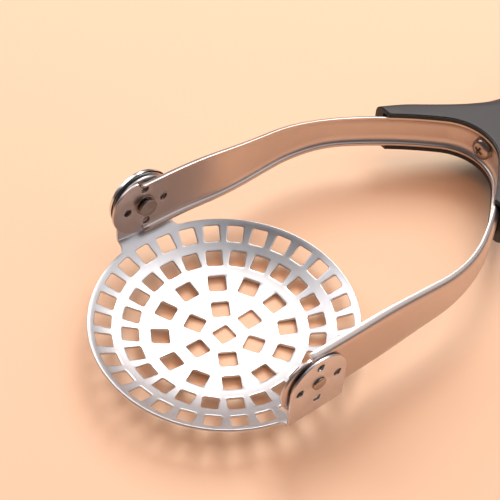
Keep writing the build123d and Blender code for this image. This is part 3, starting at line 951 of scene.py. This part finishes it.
@dataclass
class LockButton:
    """The sprung button: dome, disc, pins, shaft, cap and spring."""

    rim: float = 52.7
    top: float = 55.995
    radius: float = 12.795
    crown_r: float = 50.0
    shoulder: float = 0.9
    wall: float = 0.6
    disc_at: float = 52.8
    disc_t: float = 0.8
    cap_at: float = 47.5
    cap_r: float = 3.6
    cap_t: float = 0.6
    shaft_r: float = 2.0
    pin_r: float = 1.5
    pin_end: float = 51.05
    lock_circle: float = 7.8
    spring_end: float = 48.9
    spring_r: tuple[float, float] = (2.5, 3.42)
    spring_wire: float = 0.3
    spring_turns: float = 2.25

    def crown(self, inset: float) -> list[tuple[float, float]]:
        """The dome's line from its open edge to its middle, drawn in by a wall's thickness."""
        middle = self.crown_r - self.top
        centre_r = self.radius - self.shoulder
        reach = self.crown_r - self.shoulder
        meet = math.degrees(math.asin(centre_r / reach))
        bend_x = middle - math.sqrt(reach**2 - centre_r**2)
        line = [(-self.rim, self.radius - inset)]
        line += arc((bend_x, centre_r), self.shoulder - inset, 90.0, 180.0 - meet, 6)
        line += arc((middle, 0.0), self.crown_r - inset, 180.0 - meet, 180.0, 14)[1:]
        return line

    def build(self, parts: PivotParts) -> None:
        """Build all of them, using the pivot's way of making turned pieces."""
        outside, inside = self.crown(0.0), self.crown(self.wall)
        parts.turned("button_dome", outside + inside[::-1], BUTTON_STEEL, Body.BUTTON, "button_steel",
                     closed=False, soft=0.18)
        parts.ring("pin_disc", -self.disc_at - self.disc_t, -self.disc_at, self.radius - self.wall, self.shaft_r,
                   BUTTON_STEEL, "button_steel", Body.BUTTON)
        back = -self.disc_at - self.disc_t
        shaft = [(back - 0.8, 0.0), (back - 0.8, 3.0), (back, 3.0), (back, self.shaft_r), (-self.cap_at, self.shaft_r)]
        parts.turned("button_shaft", shaft + [(-self.cap_at, 0.0)], FASTENER_STEEL, Body.BUTTON, "fastener_steel",
                     closed=False)
        face = -self.cap_at + self.cap_t
        cap = [(-self.cap_at, 0.0), (-self.cap_at, self.cap_r), (face - 0.1, self.cap_r), (face, self.cap_r - 0.1),
               (face, 1.5), (face - 0.07, 1.35), (face - 0.07, 0.0)]
        parts.turned("shaft_cap", cap, FASTENER_STEEL, Body.BUTTON, "fastener_steel", closed=False, soft=0.1)
        self.pins()
        self.spring()

    def pins(self) -> None:
        """Build the four pins as one piece."""
        bm = bmesh.new()
        for k in range(4):
            single = bmesh.new()
            lathe(single, [(-self.disc_at, 0.0), (-self.disc_at, self.pin_r), (-self.pin_end, self.pin_r),
                           (-self.pin_end, 0.0)], 32)
            soften(single, 0.2, 2, 38.0)
            angle = k * math.pi / 2
            bmesh.ops.translate(single, verts=single.verts, vec=(
                0.0, self.lock_circle * math.cos(angle), self.lock_circle * math.sin(angle)))
            mesh = bpy.data.meshes.new("pin")
            single.to_mesh(mesh)
            single.free()
            bm.from_mesh(mesh)
            bpy.data.meshes.remove(mesh)
        piece = new_piece(bm, "lock_pin_set", FASTENER_STEEL.material())
        install(piece, Body.BUTTON, "fastener_steel", "lock_pins")

    def spring(self) -> None:
        """Build the spring, a round wire drawn along a widening helix."""
        bm = bmesh.new()
        wire = self.spring_wire / 2
        steps = round(self.spring_turns * 28)
        length = self.spring_end - self.cap_at - self.spring_wire
        rings = []
        for i in range(steps + 1):
            t = i / steps
            spin = Matrix.Rotation(TURN * self.spring_turns * t, 3, "X")
            radius = self.spring_r[0] + (self.spring_r[1] - self.spring_r[0]) * t
            x = -self.cap_at - wire - length * t
            rings.append([
                spin @ Vector((x + wire * math.cos(a), radius + wire * math.sin(a), 0.0))
                for a in (TURN * k / 10 for k in range(10))
            ])
        first = row = chain(bm, rings[0], closed=True)
        for ring in rings[1:]:
            row = grow(bm, row, ring, closed=True)
        for end in (first, row):
            bmesh.ops.contextual_create(bm, geom=[bm.edges.get(p) for p in zip(end, end[1:] + end[:1])])
        outward(bm)
        piece = new_piece(bm, "lock_spring_coil", SPRING_STEEL.material(), smooth_angle=60.0)
        install(piece, Body.BUTTON, "spring_steel", "lock_spring")


# ------------------------------------------------------------------ handle
@dataclass
class Handle:
    """The saddle, the core, the soft grip and the end cap."""

    fork: Fork
    start: float = 100.0
    grip_end: float = 240.0
    end: float = 256.0
    lip_cover: float = 0.2
    skin_step: float = 0.35
    sections: tuple[tuple[float, float, float, float], ...] = (
        (100.0, 36.6, 9.3, 0.42), (109.0, 31.9, 9.3, 0.42), (118.0, 26.0, 9.3, 0.46), (125.5, 21.4, 9.4, 0.54),
        (132.5, 18.0, 9.5, 0.66), (141.0, 15.4, 9.6, 0.86), (155.0, 13.2, 9.9, 0.86), (180.0, 14.3, 11.2, 0.86),
        (207.0, 15.9, 12.0, 0.86), (228.0, 15.2, 11.4, 0.86), (240.0, 13.8, 10.5, 0.86), (249.0, 11.6, 9.2, 0.86),
        (256.0, 7.6, 6.6, 0.86),
    )
    hang_hole: tuple[float, float] = (247.5, 3.5)
    lip_soft: float = 0.45

    def at(self, y: float) -> tuple[float, float, float]:
        """Half width, half height and corner ratio at a distance from the pivot."""
        rows = self.sections
        k = max(i for i in range(len(rows) - 1) if rows[i][0] <= y or i == 0)
        a, b = rows[k], rows[k + 1]
        before = rows[k - 1] if k else a
        after = rows[k + 2] if k + 2 < len(rows) else b
        span = b[0] - a[0]
        t = (y - a[0]) / span
        values = []
        for c in (1, 2, 3):
            m0 = (b[c] - before[c]) / (b[0] - before[0]) * span
            m1 = (after[c] - a[c]) / (after[0] - a[0]) * span
            values.append(
                (2 * t**3 - 3 * t**2 + 1) * a[c] + (t**3 - 2 * t**2 + t) * m0
                + (3 * t**2 - 2 * t**3) * b[c] + (t**3 - t**2) * m1
            )
        return values[0], values[1], values[2]

    def section(self, y: float, inset: float, squeeze: float = 1.0) -> list[Vector]:
        """The handle's section as a loop of points, a rounded rectangle drawn in by inset."""
        half_w, half_h, ratio = self.at(y)
        half_w, half_h = (half_w - inset) * squeeze, (half_h - inset) * squeeze
        corner = ratio * half_h
        loop = []
        flat_x, flat_z, turn = 12, 4, 8
        for sx, sz, start in ((1, 1, 0.0), (-1, 1, 90.0), (-1, -1, 180.0), (1, -1, 270.0)):
            loop += arc((sx * (half_w - corner), sz * (half_h - corner)), corner, start, start + 90.0, turn)
            here = loop[-1]
            steps = flat_x if sx * sz > 0 else flat_z
            there = (-here[0], here[1]) if sx * sz > 0 else (here[0], -here[1])
            loop += [(here[0] + (there[0] - here[0]) * i / steps, here[1] + (there[1] - here[1]) * i / steps)
                     for i in range(1, steps)]
        return [Vector((x, y, z)) for x, z in loop]

    def form(self, start: float, end: float, inset: float, step: float = 1.6, round_end: float = 0.0) -> BMesh:
        """A closed length of the handle.

        Args:
            start: where it starts, from the pivot.
            end: where it ends.
            inset: how far it is drawn in from the outside.
            step: length between its sections.
            round_end: length over which the far end rounds off.

        Returns:
            The new mesh.
        """
        bm = bmesh.new()
        count = max(2, round((end - start) / step))
        row = chain(bm, self.section(start, inset), closed=True)
        first = row
        for i in range(1, count + 1):
            y = start + (end - start) * i / count
            row = grow(bm, row, self.section(y, inset), closed=True)
        if round_end:
            for i in range(1, 6):
                angle = i / 6 * math.pi / 2
                y = end + round_end * math.sin(angle)
                targets = [v + Vector((0.0, y - end, 0.0)) for v in self.section(end, inset, 0.7 + 0.3 * math.cos(angle))]
                row = grow(bm, row, targets, closed=True)
        bmesh.ops.contextual_create(bm, geom=[bm.edges.get(p) for p in zip(row, row[1:] + row[:1])])
        bmesh.ops.contextual_create(bm, geom=[bm.edges.get(p) for p in zip(first, first[1:] + first[:1])])
        outward(bm)
        return bm

    def throat(self, inset: float, half: float) -> BMesh:
        """A block of the fork's plan shape, drawn in by inset, to cut the saddle with."""
        bm = bmesh.new()
        plain = [(x - inset * math.cos(t), y - inset * math.sin(t)) for x, y, t in self.fork.path((2, 10, 22, 26))]
        outline = plain + [(-x, y) for x, y in reversed(plain[:-1])]
        row = chain(bm, [Vector((x, y, -half)) for x, y in outline], closed=True)
        first = row
        row = grow(bm, row, [Vector((v.co.x, v.co.y, half)) for v in row], closed=True)
        for ends in (first, row):
            bmesh.ops.contextual_create(bm, geom=[bm.edges.get(p) for p in zip(ends, ends[1:] + ends[:1])])
        outward(bm)
        return bm

    def finish(self, bm: BMesh, name: str, finish: object, slot: str, node: str, soft: float) -> None:
        """Tidy a carved piece, round its edges and install it."""
        bmesh.ops.dissolve_degenerate(bm, dist=0.02, edges=bm.edges)
        merge(bm, 0.06)
        outward(bm)
        sharp = [e for e in bm.edges if len(e.link_faces) == 2 and e.calc_face_angle() > math.radians(50.0)]
        bmesh.ops.bevel(bm, geom=sharp, offset=soft, offset_type="OFFSET", segments=3, profile=0.5,
                        affect="EDGES", material=-1, clamp_overlap=False)
        piece = new_piece(bm, name, finish.material(), smooth_angle=40.0)
        install(piece, Body.FRAME, slot, node)

    def build(self) -> None:
        """Build the core, the grip and the cap."""
        fork = self.fork
        core = carve(self.form(self.start, self.grip_end - 8.0, self.skin_step),
                     [self.throat(0.0, fork.arm_half), self.throat(fork.flange + self.lip_cover, 30.0)])
        self.finish(core, "saddle_core", CORE_PLASTIC, "core_plastic", "handle_core", 0.12)
        grip = carve(self.form(self.start + 0.25, self.grip_end, 0.0),
                     [self.form(self.start - 1.0, self.grip_end - 7.9, self.skin_step + 0.01),
                      self.throat(fork.flange - 0.15, 30.0)])
        self.finish(grip, "soft_grip", GRIP_RUBBER, "grip_rubber", "handle_grip", 0.16)
        hole = bmesh.new()
        centre, radius = self.hang_hole
        bmesh.ops.create_cone(hole, cap_ends=True, segments=48, radius1=radius, radius2=radius, depth=60.0,
                              matrix=Matrix.Translation((0.0, centre, 0.0)))
        cap = carve(self.form(self.grip_end + 0.1, self.end - 2.0, 0.12, 1.2, 2.0), [hole])
        self.finish(cap, "handle_end_cap", CAP_PLASTIC, "cap_plastic", "end_cap", 0.5)


@dataclass
class YokeScrew:
    """The cross-head screw in the middle of the yoke."""

    seat: float
    head_r: float = 4.5
    head_t: float = 2.4
    shank_r: float = 2.1
    length: float = 26.0
    slot_w: float = 1.15
    slot_l: float = 5.2
    slot_d: float = 1.7

    def build(self) -> None:
        """Build the screw, head towards the plate."""
        bm = bmesh.new()
        dome = [(-self.head_t + 1.9 * (1 - math.cos(t)), self.head_r * math.sin(t) ** 0.75)
                for t in (math.pi / 2 * i / 10 for i in range(11))]
        outline = dome + [(0.0, self.head_r), (0.0, self.shank_r), (self.length - 1.5, self.shank_r), (self.length, 0.0)]
        lathe(bm, outline, 64)
        cutters = []
        for turn in (0.0, math.pi / 2):
            blade = bmesh.new()
            bmesh.ops.create_cube(blade, size=1.0, matrix=Matrix.Diagonal((2 * self.slot_d, self.slot_l, self.slot_w, 1.0)))
            for vert in blade.verts:
                if vert.co.x > 0:
                    vert.co.y *= 0.55
                    vert.co.z *= 0.7
            bmesh.ops.rotate(blade, verts=blade.verts, cent=(0, 0, 0), matrix=Matrix.Rotation(turn + 0.35, 3, "X"))
            bmesh.ops.translate(blade, verts=blade.verts, vec=(-self.head_t, 0.0, 0.0))
            cutters.append(blade)
        bm = carve(bm, cutters)
        soften(bm, 0.1, 2, 40.0)
        turned = Matrix.Rotation(math.pi / 2, 4, "Z")
        place = TO_FRAME @ Matrix.Translation((0.0, self.seat, 0.0)) @ turned
        piece = new_piece(bm, "cross_head_screw", FASTENER_STEEL.material(), place)
        install(piece, Body.FRAME, "fastener_steel", "yoke_screw")


# ------------------------------------------------------------------ studio
@dataclass
class Studio:
    """Floor, light and camera."""

    azimuth: float = 49.75
    elevation: float = 47.0
    roll: float = 3.75
    distance: float = 0.43891
    lens: float = 89.12
    aim: tuple[float, float, float] = (-9.39, 17.48, 0.0)
    floor_tone: tuple[float, float, float] = (0.93, 0.69, 0.50)
    floor_tilt: float = 3.85
    dish_under: float = 151.0
    sky_tone: tuple[float, float, float] = (0.95, 0.93, 1.0)
    sky_strength: float = 0.12

    def camera(self) -> None:
        """Place the camera."""
        a, e, r = (math.radians(v) for v in (self.azimuth, self.elevation, self.roll))
        back = Vector((math.sin(a) * math.cos(e), -math.cos(a) * math.cos(e), math.sin(e)))
        right = Vector((math.cos(a), math.sin(a), 0.0))
        up = back.cross(right)
        across = right * math.cos(r) + up * math.sin(r)
        upward = up * math.cos(r) - right * math.sin(r)
        data = bpy.data.cameras.new("camera")
        data.lens = self.lens
        data.sensor_width = 36.0
        data.clip_start = 0.01
        eye = bpy.data.objects.new("camera", data)
        matrix = Matrix((across, upward, back)).transposed().to_4x4()
        matrix.translation = PIVOT + Vector(self.aim) * MM + back * self.distance
        eye.matrix_world = matrix
        bpy.context.scene.collection.objects.link(eye)
        bpy.context.scene.camera = eye

    def floor(self) -> None:
        """Lay the floor so that the tool rests on its dish and on the underside of its grip."""
        bm = bmesh.new()
        bmesh.ops.create_grid(bm, x_segments=8, y_segments=8, size=2.5)
        graph = Graph("floor")
        material = graph.feed(Base_Color=(*self.floor_tone, 1.0), Roughness=0.75, Specular_IOR_Level=0.2)
        tilt = math.radians(self.floor_tilt)
        touch = Vector((0.0, math.sin(tilt), 1.0 - math.cos(tilt))) * self.dish_under * MM
        lowest = Vector((PIVOT.x, PIVOT.y, CAD_BOX[0][2]))
        stage = new_piece(bm, "floor", material, Matrix.Translation(lowest + touch) @ Matrix.Rotation(tilt, 4, "X"))

    def lamp(self, name: str, place: tuple[float, float, float], size: float, power: float,
             tone: tuple[float, float, float]) -> bpy.types.Object:
        """Hang one soft square lamp, aimed at the pivot.

        Args:
            name: the lamp's name.
            place: where it is, in metres from the pivot.
            size: its side in metres.
            power: in watts.
            tone: its colour.

        Returns:
            The lamp.
        """
        data = bpy.data.lights.new(name, "AREA")
        data.size = size
        data.energy = power
        data.color = tone
        lamp = bpy.data.objects.new(name, data)
        lamp.location = PIVOT + Vector(place)
        lamp.rotation_euler = (-Vector(place)).to_track_quat("-Z", "Y").to_euler()
        bpy.context.scene.collection.objects.link(lamp)
        return lamp

    def light(self) -> None:
        """Set the lamps and the sky."""
        world = bpy.data.worlds.new("studio")
        world.use_nodes = True
        sky = world.node_tree.nodes["Background"]
        sky.inputs[0].default_value = (*self.sky_tone, 1.0)
        sky.inputs[1].default_value = self.sky_strength
        bpy.context.scene.world = world
        self.lamp("key", (-0.68, 0.80, 1.30), 0.90, 17.4, (1.0, 0.97, 0.94))
        self.lamp("side", (-1.30, -0.30, 0.85), 1.1, 9.0, (0.98, 0.98, 1.0))
        self.lamp("back", (0.45, 0.66, 1.05), 1.5, 6.0, (0.97, 0.98, 1.0))
        self.lamp("bounce", (0.0, 0.0, 1.8), 2.0, 15.0, (1.0, 0.38, 0.11)).visible_glossy = False

    def build(self) -> None:
        """Set up the whole studio."""
        self.camera()
        self.floor()
        self.light()
        bpy.context.scene.view_settings.view_transform = "Standard"


def dress_hidden_nodes() -> None:
    """Give the CAD nodes that stay their finishes."""
    frame["nodes"]["screw_insert"].data.materials.clear()
    frame["nodes"]["screw_insert"].data.materials.append(INSERT_BRASS.material())


def main() -> None:
    """Build the masher and its studio."""
    logging.basicConfig(level=logging.INFO, format="%(message)s")
    Studio().build()
    MashingPlate().build()
    fork = Fork()
    fork.build()
    parts = PivotParts()
    parts.build()
    LockButton().build(parts)
    Handle(fork).build()
    YokeScrew(seat=fork.yoke_y - fork.sheet - 0.45).build()
    dress_hidden_nodes()


if __name__ == "__main__":
    main()
